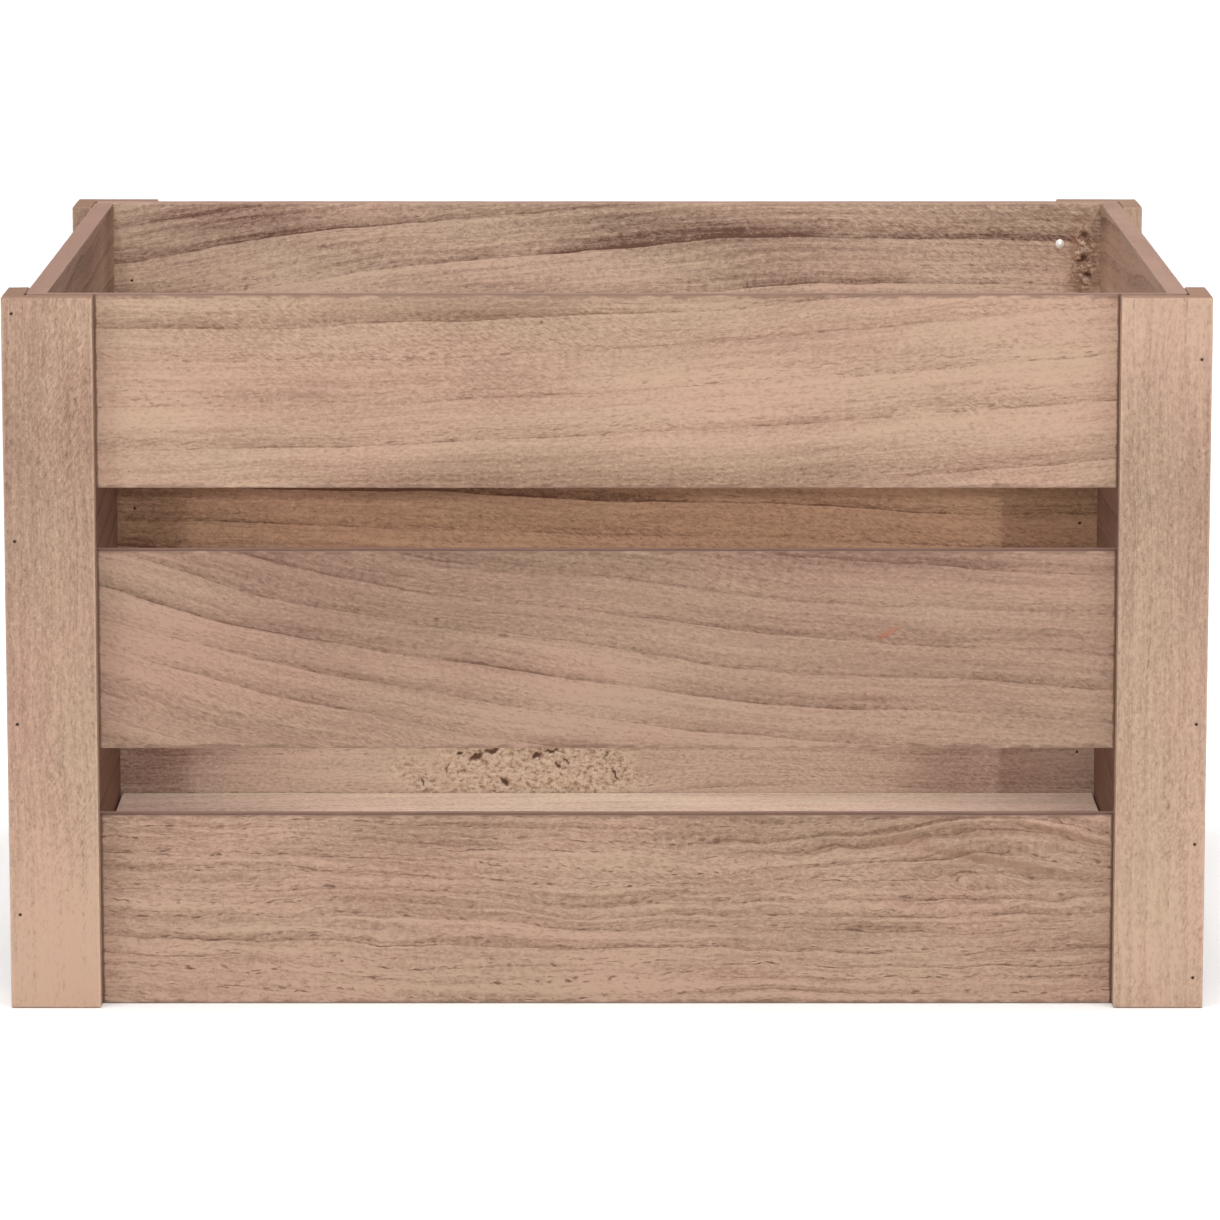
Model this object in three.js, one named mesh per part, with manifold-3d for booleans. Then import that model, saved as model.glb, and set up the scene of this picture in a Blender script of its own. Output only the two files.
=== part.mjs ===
// A slatted wooden apple crate, in millimetres.
//
// +X runs along the width, +Y from the front wall to the back wall and +Z up. The origin is on the ground,
// at the centre of the footprint. Each corner is an L of two upright boards: a face board on the front or
// back covers the edge of a side board. The slats lie inside these boards, so the corners stand proud of
// the walls by one board thickness.

import * as THREE from "three";
import { mergeVertices } from "three/addons/utils/BufferGeometryUtils.js";
import Module from "manifold-3d";

// Driving dimensions
const WIDTH = 500;
const DEPTH = 400;
const HEIGHT = 300;
const BOARD = 9;
const CORNER_LEG = 38;
const BOTTOM_SLAT = 81;
const LOWER_GAP = 28;
const MIDDLE_SLAT = 84;
const UPPER_GAP = 26;
const FLOOR_TOP = 17.5;
const FLOOR_BOARDS = 4;
const FLOOR_BOARD_GAP = 4;
const CLEATS = 3;
const CLEAT_WIDTH = 30;
const END_PLAY = 0.5;

const BRAD_RADIUS = 0.6;
const BRAD_HEAD_RADIUS = 0.8;
const BRAD_HEAD_HEIGHT = 0.6;
const BRAD_POINT = 2;
const BRAD_SUNK = 0.5;
const BRAD_SIDES = 8;
const CORNER_BRAD_LENGTH = 25;
const SLAT_BRAD_LENGTH = 15;
const SLAT_BRAD_INSET = 26;
const SLAT_BRAD_OFFSET = 3.5;
const HOLE_CLEARANCE = 0.3;

const TACK_HEAD_RADIUS = 2.1;
const TACK_HEAD_HEIGHT = 1.3;
const TACK_SHANK_RADIUS = 0.7;
const TACK_SHANK_LENGTH = 7;
const TACK_SIDES = 16;
const TACK_ARC_STEPS = 4;
const TACK_FROM_CENTRE = 213;
const TACK_HEIGHT = 280.5;

// How high each corner's brads sit. They are driven by hand, so no two corners match.
const CORNER_BRAD_HEIGHTS = {
  front_left: [40, 121, 198, 293],
  front_right: [13, 70, 121, 274],
  back_left: [22, 96, 187, 281],
  back_right: [31, 118, 205, 288],
};

// Sizes that follow from them
const HALF_WIDTH = WIDTH / 2;
const HALF_DEPTH = DEPTH / 2;
const SIDE_BOARD = CORNER_LEG - BOARD;
const INSIDE_HALF_WIDTH = HALF_WIDTH - 2 * BOARD;
const INSIDE_HALF_DEPTH = HALF_DEPTH - 2 * BOARD;
const MIDDLE_BOTTOM = BOTTOM_SLAT + LOWER_GAP;
const TOP_BOTTOM = MIDDLE_BOTTOM + MIDDLE_SLAT + UPPER_GAP;

const WALLS = { front: -1, back: 1 };
const SIDES = { left: -1, right: 1 };
const ROWS = {
  bottom: [0, BOTTOM_SLAT],
  middle: [MIDDLE_BOTTOM, MIDDLE_BOTTOM + MIDDLE_SLAT],
  top: [TOP_BOTTOM, HEIGHT],
};

const CORNER_WOOD = { color: 0xb89377, roughness: 0.72 };
const SLAT_WOOD = { color: 0xa98468, roughness: 0.72 };
const FLOOR_WOOD = { color: 0xbc9c86, roughness: 0.72 };
const BRAD_STEEL = { color: 0x4b443f, roughness: 0.5, metalness: 0.9 };
const TACK_METAL = { color: 0xd9d2c8, roughness: 0.25, metalness: 0.8 };

const wasm = await Module();
wasm.setup();

function material(finish) {
  return new THREE.MeshStandardMaterial(finish);
}

function toSolid(geometry) {
  const bare = geometry.clone();
  bare.deleteAttribute("normal");
  bare.deleteAttribute("uv");
  const merged = mergeVertices(bare);
  return new wasm.Manifold(
    new wasm.Mesh({
      numProp: 3,
      vertProperties: new Float32Array(merged.attributes.position.array),
      triVerts: new Uint32Array(merged.index.array),
    }),
  );
}

function toGeometry(solid) {
  const mesh = solid.getMesh();
  const geometry = new THREE.BufferGeometry();
  geometry.setAttribute("position", new THREE.BufferAttribute(mesh.vertProperties, mesh.numProp));
  geometry.setIndex(new THREE.BufferAttribute(mesh.triVerts, 1));
  geometry.computeVertexNormals();
  return geometry;
}

// A square-edged board between two opposite corners, with the holes that its fasteners need.
function board(name, low, high, look, fasteners = []) {
  const corner = new THREE.Vector3(...low);
  const size = new THREE.Vector3(...high).sub(corner);
  const centre = corner.addScaledVector(size, 0.5);
  const blank = new THREE.BoxGeometry(size.x, size.y, size.z);
  let solid = toSolid(blank);
  for (const fastener of fasteners) {
    solid = solid.subtract(toSolid(fastener.hole().translate(-centre.x, -centre.y, -centre.z)));
  }
  const mesh = new THREE.Mesh(fasteners.length ? toGeometry(solid) : blank, look);
  mesh.name = name;
  mesh.position.copy(centre);
  return mesh;
}

// A pin turned from a profile, whose head lies at a point on a face and looks along the face's normal.
class Fastener {
  constructor(name, { profile, sides, holeRadius, head, normal, look }) {
    this.profile = profile.map(([radius, along]) => new THREE.Vector2(radius, along));
    this.sides = sides;
    this.holeRadius = holeRadius;
    this.head = new THREE.Vector3(...head);
    this.turn = new THREE.Quaternion().setFromUnitVectors(
      new THREE.Vector3(0, 1, 0),
      new THREE.Vector3(...normal),
    );
    this.name = name;
    this.look = look;
  }

  // The hole is centred on the face and reaches just past the fastener's point.
  hole() {
    const bottom = this.profile[0].y - HOLE_CLEARANCE;
    const length = -2 * bottom;
    return new THREE.CylinderGeometry(this.holeRadius, this.holeRadius, length, this.sides)
      .applyQuaternion(this.turn)
      .translate(this.head.x, this.head.y, this.head.z);
  }

  mesh() {
    const mesh = new THREE.Mesh(new THREE.LatheGeometry(this.profile, this.sides), this.look);
    mesh.name = this.name;
    mesh.position.copy(this.head);
    mesh.quaternion.copy(this.turn);
    return mesh;
  }
}

function brad(name, length, head, normal) {
  const top = -BRAD_SUNK;
  const tip = top - length;
  return new Fastener(name, {
    profile: [
      [0, tip],
      [BRAD_RADIUS, tip + BRAD_POINT],
      [BRAD_RADIUS, top - BRAD_HEAD_HEIGHT],
      [BRAD_HEAD_RADIUS, top - BRAD_HEAD_HEIGHT],
      [BRAD_HEAD_RADIUS, top],
      [0, top],
    ],
    sides: BRAD_SIDES,
    holeRadius: BRAD_HEAD_RADIUS + HOLE_CLEARANCE,
    head,
    normal,
    look: material(BRAD_STEEL),
  });
}

// The one bright nail with a domed head, which sits on the face and stays within the slat.
function domedTack() {
  const arc = [];
  for (let step = 1; step < TACK_ARC_STEPS; step += 1) {
    const angle = (step / TACK_ARC_STEPS) * (Math.PI / 2);
    const radius = TACK_HEAD_RADIUS * Math.cos(angle);
    arc.push([radius, HOLE_CLEARANCE + TACK_HEAD_HEIGHT * Math.sin(angle)]);
  }
  return new Fastener("domed_nail", {
    profile: [
      [0, -TACK_SHANK_LENGTH],
      [TACK_SHANK_RADIUS, BRAD_POINT - TACK_SHANK_LENGTH],
      [TACK_SHANK_RADIUS, HOLE_CLEARANCE],
      [TACK_HEAD_RADIUS, HOLE_CLEARANCE],
      ...arc,
      [0, HOLE_CLEARANCE + TACK_HEAD_HEIGHT],
    ],
    sides: TACK_SIDES,
    holeRadius: TACK_SHANK_RADIUS + HOLE_CLEARANCE,
    head: [TACK_FROM_CENTRE, INSIDE_HALF_DEPTH, TACK_HEIGHT],
    normal: [0, -1, 0],
    look: material(TACK_METAL),
  });
}

// A board given by its extents measured away from the centre on one side, as [near, far].
function mirrored(side, [near, far]) {
  return side > 0 ? [near, far] : [-far, -near];
}

function between(name, xs, ys, zs, look, fasteners) {
  return board(name, [xs[0], ys[0], zs[0]], [xs[1], ys[1], zs[1]], look, fasteners);
}

// The brads go through the face board into the edge of the side board, at the middle of its thickness.
function cornerBrads(wall, side) {
  const x = SIDES[side] * (HALF_WIDTH - BOARD / 2);
  const y = WALLS[wall] * HALF_DEPTH;
  const normal = [0, WALLS[wall], 0];
  return CORNER_BRAD_HEIGHTS[`${wall}_${side}`].map((height, index) => {
    const name = `${wall}_${side}_corner_brad_${index + 1}`;
    return brad(name, CORNER_BRAD_LENGTH, [x, y, height], normal);
  });
}

// One brad through each end of a long slat, driven from inside the crate into the face board.
function slatBrad(wall, side, row) {
  const [low, high] = ROWS[row];
  const height = (low + high) / 2 - SIDES[side] * SLAT_BRAD_OFFSET;
  const head = [SIDES[side] * (HALF_WIDTH - SLAT_BRAD_INSET), WALLS[wall] * INSIDE_HALF_DEPTH, height];
  return brad(`${wall}_${row}_${side}_slat_brad`, SLAT_BRAD_LENGTH, head, [0, -WALLS[wall], 0]);
}

function corner(wall, side, slatBrads) {
  const brads = cornerBrads(wall, side);
  const upright = [0, HEIGHT];
  const faceX = mirrored(SIDES[side], [HALF_WIDTH - CORNER_LEG, HALF_WIDTH]);
  const faceY = mirrored(WALLS[wall], [HALF_DEPTH - BOARD, HALF_DEPTH]);
  const sideX = mirrored(SIDES[side], [HALF_WIDTH - BOARD, HALF_WIDTH]);
  const sideY = mirrored(WALLS[wall], [HALF_DEPTH - BOARD - SIDE_BOARD, HALF_DEPTH - BOARD]);
  const look = material(CORNER_WOOD);
  return [
    between(`${wall}_${side}_face_board`, faceX, faceY, upright, look, [...brads, ...slatBrads]),
    between(`${wall}_${side}_side_board`, sideX, sideY, upright, look, brads),
    ...brads.map((one) => one.mesh()),
  ];
}

// The three slats of the front or back wall. Their ends stop just short of the corners' side boards.
function longWall(wall) {
  const meshes = [];
  const slatBrads = { left: [], right: [] };
  const half = HALF_WIDTH - BOARD - END_PLAY;
  const ys = mirrored(WALLS[wall], [INSIDE_HALF_DEPTH, HALF_DEPTH - BOARD]);
  const look = material(SLAT_WOOD);
  for (const row of Object.keys(ROWS)) {
    const fasteners = wall === "back" && row === "top" ? [domedTack()] : [];
    for (const side of Object.keys(SIDES)) {
      const end = slatBrad(wall, side, row);
      slatBrads[side].push(end);
      fasteners.push(end);
    }
    meshes.push(between(`${wall}_${row}_slat`, [-half, half], ys, ROWS[row], look, fasteners));
    meshes.push(...fasteners.map((one) => one.mesh()));
  }
  for (const side of Object.keys(SIDES)) {
    meshes.push(...corner(wall, side, slatBrads[side]));
  }
  return meshes;
}

// The three slats of the left or right wall. They butt between the long walls.
function shortWall(side) {
  const half = INSIDE_HALF_DEPTH - END_PLAY;
  const xs = mirrored(SIDES[side], [INSIDE_HALF_WIDTH, HALF_WIDTH - BOARD]);
  const look = material(SLAT_WOOD);
  return Object.keys(ROWS).map((row) =>
    between(`${side}_${row}_slat`, xs, [-half, half], ROWS[row], look),
  );
}

// Boards that run along the width, on cleats that run from front to back.
function floor() {
  const meshes = [];
  const look = material(FLOOR_WOOD);
  const halfWidth = INSIDE_HALF_WIDTH - END_PLAY;
  const halfDepth = INSIDE_HALF_DEPTH - END_PLAY;
  const pitch = (2 * halfDepth + FLOOR_BOARD_GAP) / FLOOR_BOARDS;
  for (let index = 0; index < FLOOR_BOARDS; index += 1) {
    const start = -halfDepth + index * pitch;
    const ys = [start, start + pitch - FLOOR_BOARD_GAP];
    const zs = [FLOOR_TOP - BOARD, FLOOR_TOP];
    meshes.push(between(`floor_board_${index + 1}`, [-halfWidth, halfWidth], ys, zs, look));
  }
  const step = (2 * halfWidth - CLEAT_WIDTH) / (CLEATS - 1);
  for (let index = 0; index < CLEATS; index += 1) {
    const start = -halfWidth + index * step;
    const xs = [start, start + CLEAT_WIDTH];
    const zs = [0, FLOOR_TOP - BOARD];
    meshes.push(between(`floor_cleat_${index + 1}`, xs, [-halfDepth, halfDepth], zs, look));
  }
  return meshes;
}

const crate = new THREE.Group();
crate.name = "apple_crate";
for (const wall of Object.keys(WALLS)) {
  crate.add(...longWall(wall));
}
for (const side of Object.keys(SIDES)) {
  crate.add(...shortWall(side));
}
crate.add(...floor());

export default crate;
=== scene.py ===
"""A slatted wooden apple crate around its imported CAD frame, in metres, +X across the front and +Z up.

Each board is cut from an imaginary log of its own. The growth rings are circles round a gently curved
pith line, so the lines on a board's faces, edges and ends belong together. In a board's own coordinates
x runs along the grain, y across the board and z through its thickness, with its main face on +z.
"""

import math
import random
from dataclasses import dataclass, replace

import bpy
import numpy as np
from mathutils import Matrix, Vector, noise


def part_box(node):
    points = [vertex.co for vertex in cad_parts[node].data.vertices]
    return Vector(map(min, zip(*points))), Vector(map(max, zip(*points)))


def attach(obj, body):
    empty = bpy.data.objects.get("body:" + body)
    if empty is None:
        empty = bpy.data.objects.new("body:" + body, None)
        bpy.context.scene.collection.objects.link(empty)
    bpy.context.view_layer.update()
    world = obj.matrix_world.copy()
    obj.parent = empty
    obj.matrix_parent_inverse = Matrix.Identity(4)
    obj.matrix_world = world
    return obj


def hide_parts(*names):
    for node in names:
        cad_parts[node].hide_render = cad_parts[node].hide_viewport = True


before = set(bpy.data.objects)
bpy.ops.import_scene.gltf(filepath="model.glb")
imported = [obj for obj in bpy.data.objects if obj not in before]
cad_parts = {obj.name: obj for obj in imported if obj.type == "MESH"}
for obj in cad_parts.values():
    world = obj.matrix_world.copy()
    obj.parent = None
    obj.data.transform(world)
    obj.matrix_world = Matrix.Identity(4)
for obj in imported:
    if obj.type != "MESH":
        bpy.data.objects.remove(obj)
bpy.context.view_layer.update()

MM = 0.001
X, Y, Z = Vector((1, 0, 0)), Vector((0, 1, 0)), Vector((0, 0, 1))

# The camera and the studio
CAMERA_PLACE = (0.0013, -2.845, 0.6096)
CAMERA_PITCH = math.radians(9.45)
CAMERA_LENS = 190.6
FLOOR_SIZE = 60.0
FLOOR_ALBEDO = 0.97
FLOOR_ROUGHNESS = 0.9
SKY_LIGHT = 0.08
HORIZON_LIGHT = 1.05
HORIZON_FADE = (0.045, 0.12)  # the sine of the heights between which the horizon's light fades
OVERHEAD_LIGHT = 3.5
OVERHEAD_SPREAD = math.radians(50)
OVERHEAD_PLACE = (0, 0, 3)
OVERHEAD_TARGET = (0, 0.2, 0)
LAMP_TARGET = (0, 0, 0.15)
# Lamps round the crate: name, place, size and power. The small ones throw the corners' shadows inside.
LAMPS = [
    ("right_far_lamp", (0.6, -6.0, 1.15), 0.06, 75.0),
    ("left_far_lamp", (-0.4, -6.0, 1.15), 0.06, 42.0),
    ("right_low_lamp", (0.4, -1.4, 0.305), 0.05, 1.2),
    ("right_softbox", (2.2, -2.0, 0.95), 0.9, 5.0),
    ("left_softbox", (-2.2, -1.8, 1.1), 0.9, 13.0),
]

# The shape of a board
GRID_STEP = 3.0 * MM
EASE = 0.9 * MM
EASE_ANGLES = [math.radians(angle) for angle in (0, 15, 30, 45)]
SUPPORT = 0.3 * MM  # how far inside an eased edge the plain grid begins
PLAY = 0.06 * MM  # how far a board stays inside its CAD node on every side
SAME_LINE = 0.04 * MM  # grid lines closer than this are one line
FACE_SKIN = 0.5 * MM  # how far below its flat place a point still belongs to a wide face
PLANED = 0.05 * MM  # how far a planed face undulates
SAWN_FINE = 0.16 * MM  # how far a sawn edge or end undulates
SAWN_BROAD = 0.12 * MM
PATCH_STEP = 0.7 * MM
PATCH_REACH = 1.2  # how far beyond a patch's half sizes the grid is finer
CRACK_SHAKE = (1.1 * MM, 1.0 * MM)  # how far a crack wanders, slowly and quickly

# A brad and the pit that its head leaves in the wood
PIT_RADIUS = 0.9 * MM
PIT_DEPTH = 0.55 * MM
PIT_WALL = 0.35  # the share of its radius that its wall takes up
PIT_OFFSETS = [0.3 * MM, 0.55 * MM, 0.75 * MM, 0.95 * MM, 1.3 * MM]
HEAD_REACH = 1.5 * MM  # how far from a face a head still presses into it
BRAD_SUNK = 0.5 * MM
BRAD_SIDES = 12
EXTRA_BRAD_LENGTH = 15 * MM
EXTRA_BRAD_INSET = 10 * MM

# The domed nail
DOME_RADIUS = 2.1 * MM
DOME_RIM = 0.15 * MM
DOME_RISE = 0.8 * MM
DOME_STEPS = 8
DOME_SIDES = 32


@dataclass
class Log:
    """Where a board lay in its log, and the colours of its wood in sRGB out of 255."""

    light: tuple = (200, 169, 146)
    dark: tuple = (138, 104, 84)
    across: tuple = (-0.18, 0.0, 0.0, 0.0)  # the pith line's y, as powers of x from 0 to 3
    depth: tuple = (-0.06, 0.0)  # the pith line's z, as powers of x from 0 to 1
    spacing: float = 0.014
    phase: float = 0.0
    warp: float = 1.0
    ripple: float = 0.0025
    rings: float = 1.0
    lines: float = 1.0
    pores: float = 1.0
    streaks: float = 1.0
    shades: tuple = ()  # (x, y, half length, half width, change) of paler and darker places
    calm: tuple = ()  # (x, y, half length, half width, share) of places where the rings fade
    bulges: tuple = ()  # (x, y, half length, half width, lift) of places that the rings bend round
    seed: int = 1


@dataclass
class Mark:
    """A small knot or stain on a board's +z face."""

    at: tuple
    half: tuple
    turn: float = 0.0
    colour: tuple = (96, 66, 50)
    strength: float = 0.8


@dataclass
class Patch:
    """A torn, crumbly place on a board's +z face."""

    at: tuple
    half: tuple
    depth: float = 1.3 * MM
    cracks: tuple = ()  # (x, y, half length, half width, turn) of its deepest hollows


@dataclass
class Layer:
    """A layer of noise: waves per metre along x, y and z, and what it adds to the log's seed."""

    scales: tuple
    seed: int
    detail: float = 2.0
    roughness: float = 0.5


def linear(colour):
    """An sRGB colour out of 255 as the linear colour that a shader takes."""
    parts = [part / 255 for part in colour]
    return (*[part / 12.92 if part <= 0.04045 else ((part + 0.055) / 1.055) ** 2.4 for part in parts], 1.0)


# --- Node graphs ---------------------------------------------------------------------------------


class Graph:
    """Builds one material's nodes. A value given to a method is a socket or a constant."""

    def __init__(self, name):
        self.material = bpy.data.materials.new(name)
        self.material.use_nodes = True
        self.tree = self.material.node_tree
        self.tree.nodes.clear()

    def feed(self, socket, value):
        if isinstance(value, bpy.types.NodeSocket):
            self.tree.links.new(value, socket)
        else:
            socket.default_value = value

    def add(self, kind, inputs, **settings):
        node = self.tree.nodes.new(kind)
        for name, value in settings.items():
            setattr(node, name, value)
        for name, value in inputs.items():
            self.feed(node.inputs[name], value)
        return node

    def place(self):
        """The object's own x, y and z."""
        whole = self.add("ShaderNodeTexCoord", {}).outputs["Object"]
        return list(self.add("ShaderNodeSeparateXYZ", {0: whole}).outputs)

    def attribute(self, name):
        return self.add("ShaderNodeAttribute", {}, attribute_name=name).outputs["Fac"]

    def math(self, operation, *values):
        node = self.add("ShaderNodeMath", {}, operation=operation)
        for socket, value in zip(node.inputs, values):
            self.feed(socket, value)
        return node.outputs[0]

    def sum(self, first, *others):
        for other in others:
            first = self.math("ADD", first, other)
        return first

    def product(self, first, *others):
        for other in others:
            first = self.math("MULTIPLY", first, other)
        return first

    def polynomial(self, x, powers):
        """powers[0] + powers[1] x + ..."""
        total = powers[-1]
        for power in reversed(powers[:-1]):
            total = self.math("MULTIPLY_ADD", x, total, power)
        return total

    def ramp(self, value, low, high, start=0.0, end=1.0):
        """A smooth step from start at low to end at high, flat outside them."""
        inputs = {"Value": value, "From Min": low, "From Max": high, "To Min": start, "To Max": end}
        return self.add("ShaderNodeMapRange", inputs, interpolation_type="SMOOTHSTEP").outputs[0]

    def noise(self, layer, seed, x, y, z):
        """Noise round 0, between about -0.5 and 0.5."""
        scaled = [self.product(value, scale) for value, scale in zip((x, y, z), layer.scales)]
        place = self.add("ShaderNodeCombineXYZ", dict(zip("XYZ", scaled))).outputs[0]
        seed += layer.seed
        shifted = self.add("ShaderNodeVectorMath", {0: place, 1: (seed * 7.3, seed * 3.1, seed * 5.7)})
        inputs = {"Vector": shifted.outputs[0], "Scale": 1.0}
        inputs |= {"Detail": layer.detail, "Roughness": layer.roughness}
        return self.math("SUBTRACT", self.add("ShaderNodeTexNoise", inputs).outputs["Fac"], 0.5)

    def hill(self, x, y, centre_x, centre_y, half_x, half_y):
        """1 at the centre, fading to 0 a little beyond the half sizes."""
        away_x = self.product(self.math("SUBTRACT", x, centre_x), 1 / half_x)
        away_y = self.product(self.math("SUBTRACT", y, centre_y), 1 / half_y)
        away = self.sum(self.product(away_x, away_x), self.product(away_y, away_y))
        return self.math("EXPONENT", self.product(away, -1.0))

    def blend(self, factor, first, second, mode="MIX"):
        node = self.add("ShaderNodeMix", {}, data_type="RGBA", blend_type=mode)
        self.feed(node.inputs["Factor"], factor)
        self.feed(node.inputs[6], first)
        self.feed(node.inputs[7], second)
        return node.outputs[2]

    def finish(self, colour, roughness, height, **constants):
        """The shader itself. height is in metres."""
        shader = self.add("ShaderNodeBsdfPrincipled", {"Base Color": colour, "Roughness": roughness})
        for name, value in constants.items():
            shader.inputs[name.replace("_", " ")].default_value = value
        if height is not None:
            bump = self.add("ShaderNodeBump", {"Height": height, "Distance": 1.0, "Strength": 1.0})
            self.feed(shader.inputs["Normal"], bump.outputs[0])
        output = self.add("ShaderNodeOutputMaterial", {})
        self.feed(output.inputs["Surface"], shader.outputs[0])
        return self.material


# --- Wood ----------------------------------------------------------------------------------------

# Colours of stains, wear and painted shade, and of the two tints that the wood wanders between
PINK = (255, 248, 247)
GREY = (250, 252, 246)
PORE = (104, 74, 58)
# The colour of the painted shade in torn hollows
HOLLOW_SHADE = (88, 52, 32)
FLAKE = (222, 200, 178)
CRUMB = (148, 108, 82)
# The colour of painted shade in corners and along edges
PAINTED_SHADE = (92, 62, 46)
# Eased edges: partly rubbed wear, partly a painted highlight
RUBBED_AND_LIT_EDGE = (214, 184, 162)
# The colour of the painted shade on a top edge that looks up
TOP_EDGE_SHADE_COLOUR = (154, 121, 108)
END_GRAIN = (144, 109, 90)

# The rings and what bends and breaks them. A range is the noise over which a thing sets in.
SLOW_BEND = Layer((7, 24, 24), 0, detail=1.0)
SLOW_BEND_SIZE = 0.011
RIPPLE = Layer((42, 120, 120), 1, detail=3.0)
UNEVEN_RINGS = Layer((0.45, 1, 1), 2, detail=0.0)
UNEVENNESS = 1.3
RING_FADE = Layer((11, 40, 40), 3)
BROKEN_LINE = Layer((110, 330, 330), 13)
EARLY_WOOD_POWER = 2.4
RING_SHARE = 0.34
LINE_SHARE = 0.34
LINE_WIDTH = 0.09
WEAKEST_RING = 0.35
RING_VARIETY = 0.8
FAINTEST_RING = 0.15
BROKEN_RANGE = (-0.08, 0.14)
FADE_RANGE = (-0.22, 0.2)

# The finer grain
STREAK = Layer((9, 380, 1), 4, detail=3.0, roughness=0.65)
FIBRE = Layer((60, 1400, 1400), 5, roughness=0.6)
PORES = Layer((230, 1150, 1150), 6, detail=1.0)
FUZZ = Layer((420, 800, 800), 7, roughness=0.7)
BROAD = Layer((6, 19, 19), 8)
CURL_PLACE = Layer((9, 22, 22), 9)
CURL = Layer((600, 480, 480), 10)
CURL_SLANT = 1.4
HUE = Layer((9, 30, 30), 11)
GRIT = Layer((420, 520, 520), 12, detail=3.0, roughness=0.7)
WANDER = Layer((150, 230, 230), 14, detail=1.0)
WANDER_SIZE = 0.0015
# Flecks whose light ones are painted highlights on raised fibres
GLINT_FLECK = Layer((620, 900, 900), 15, detail=1.0)
RAGGED = Layer((300, 700, 700), 20)
PORE_RANGE = (0.08, 0.22)
CURL_RANGE = (0.0, 0.16)
GLINT_FLECK_RANGE = (0.12, 0.26)
HUE_RANGE = (-0.2, 0.2)
LATE_PORES = 0.2
EARLY_PORES = 0.7

# A tone of 0 is the log's dark colour and 1 its light one. This is what each thing adds to the tone.
BASE_TONE = 0.80
RING_TONE = -1.6
STREAK_TONE = 0.9
FIBRE_TONE = 0.5
FUZZ_TONE = 1.1
GLINT_FLECK_TONE = 0.26
BROAD_TONE = 0.75
CURL_TONE = 0.9

# How strongly stains, wear and painted shade cover the wood
PORE_STAIN = 0.7
RUBBED_AND_LIT_EDGE_STRENGTH = 0.28
# How strong the painted shade on a top edge that looks up is
TOP_EDGE_SHADE = 0.75
END_DIRT = 0.75
# How strong the painted shade beside the posts' edges is
CORNER_SHADE = 0.85
# How strong the painted shade along a face's long edges is
EDGE_SHADE = 0.55
FLAKE_STRENGTH = 0.85
CRUMB_STRENGTH = 0.8
HOLLOW_SHADE_STRENGTH = 0.9

# The surface: its sheen, and the height of the grain's relief in metres
ROUGHNESS = 0.66
FUZZ_ROUGHNESS = 0.2
EARLY_ROUGHNESS = 0.06
SPECULAR = 0.32
FIBRE_RELIEF = 0.00008
FUZZ_RELIEF = 0.00018
PORE_RELIEF = -0.00012
CURL_RELIEF = 0.0001
GRIT_RELIEF = 0.0012


class Grain:
    """One board's grain, as sockets of its graph: its own coordinates, its rings and its fibres."""

    def __init__(self, graph, log):
        self.graph = graph
        self.log = log
        self.along, self.across, self.depth = graph.place()
        self.find_rings()
        self.find_fibres()

    def noise(self, layer):
        return self.graph.noise(layer, self.log.seed, self.along, self.across, self.depth)

    def hill(self, *hill):
        return self.graph.hill(self.along, self.across, *hill)

    def find_rings(self):
        """How far each point is from the pith, in metres and in rings, and how early its wood is."""
        g, log = self.graph, self.log
        slow = g.product(self.noise(SLOW_BEND), SLOW_BEND_SIZE * log.warp)
        bend = g.sum(slow, g.product(self.noise(RIPPLE), log.ripple))
        for *hill, lift in log.bulges:
            bend = g.sum(bend, g.product(self.hill(*hill), -lift))
        straight = g.math("SUBTRACT", self.across, g.polynomial(self.along, log.across))
        self.off_across = g.sum(straight, bend)
        self.off_depth = g.math("SUBTRACT", self.depth, g.polynomial(self.along, log.depth))
        squares = [g.product(off, off) for off in (self.off_across, self.off_depth)]
        self.radius = g.math("SQRT", g.sum(*squares))
        even = g.math("MULTIPLY_ADD", self.radius, 1 / log.spacing, log.phase)
        uneven = g.noise(UNEVEN_RINGS, log.seed, even, 0.0, 0.0)
        self.turns = g.math("MULTIPLY_ADD", uneven, UNEVENNESS, even)
        self.through = g.math("FRACT", self.turns)
        self.early = g.math("POWER", g.math("SUBTRACT", 1.0, self.through), EARLY_WOOD_POWER)

    def find_fibres(self):
        """Fibres and pores that wander a little about the grain, and curly places."""
        g, seed = self.graph, self.log.seed
        self.wander = self.noise(WANDER)
        fibre_across = g.math("MULTIPLY_ADD", self.wander, WANDER_SIZE, self.off_across)
        fibre_place = (self.along, fibre_across, self.off_depth)
        self.fibre = g.noise(FIBRE, seed, *fibre_place)
        self.fuzz = g.noise(FUZZ, seed, *fibre_place)
        open_pores = g.ramp(g.noise(PORES, seed, *fibre_place), *PORE_RANGE)
        share = g.sum(g.product(self.early, EARLY_PORES), LATE_PORES)
        self.pores = g.product(open_pores, share, self.log.pores)
        slant = g.math("MULTIPLY_ADD", self.across, CURL_SLANT, self.along)
        curl = g.noise(CURL, seed, slant, self.across, self.depth)
        self.curl = g.product(curl, g.ramp(self.noise(CURL_PLACE), *CURL_RANGE))


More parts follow.
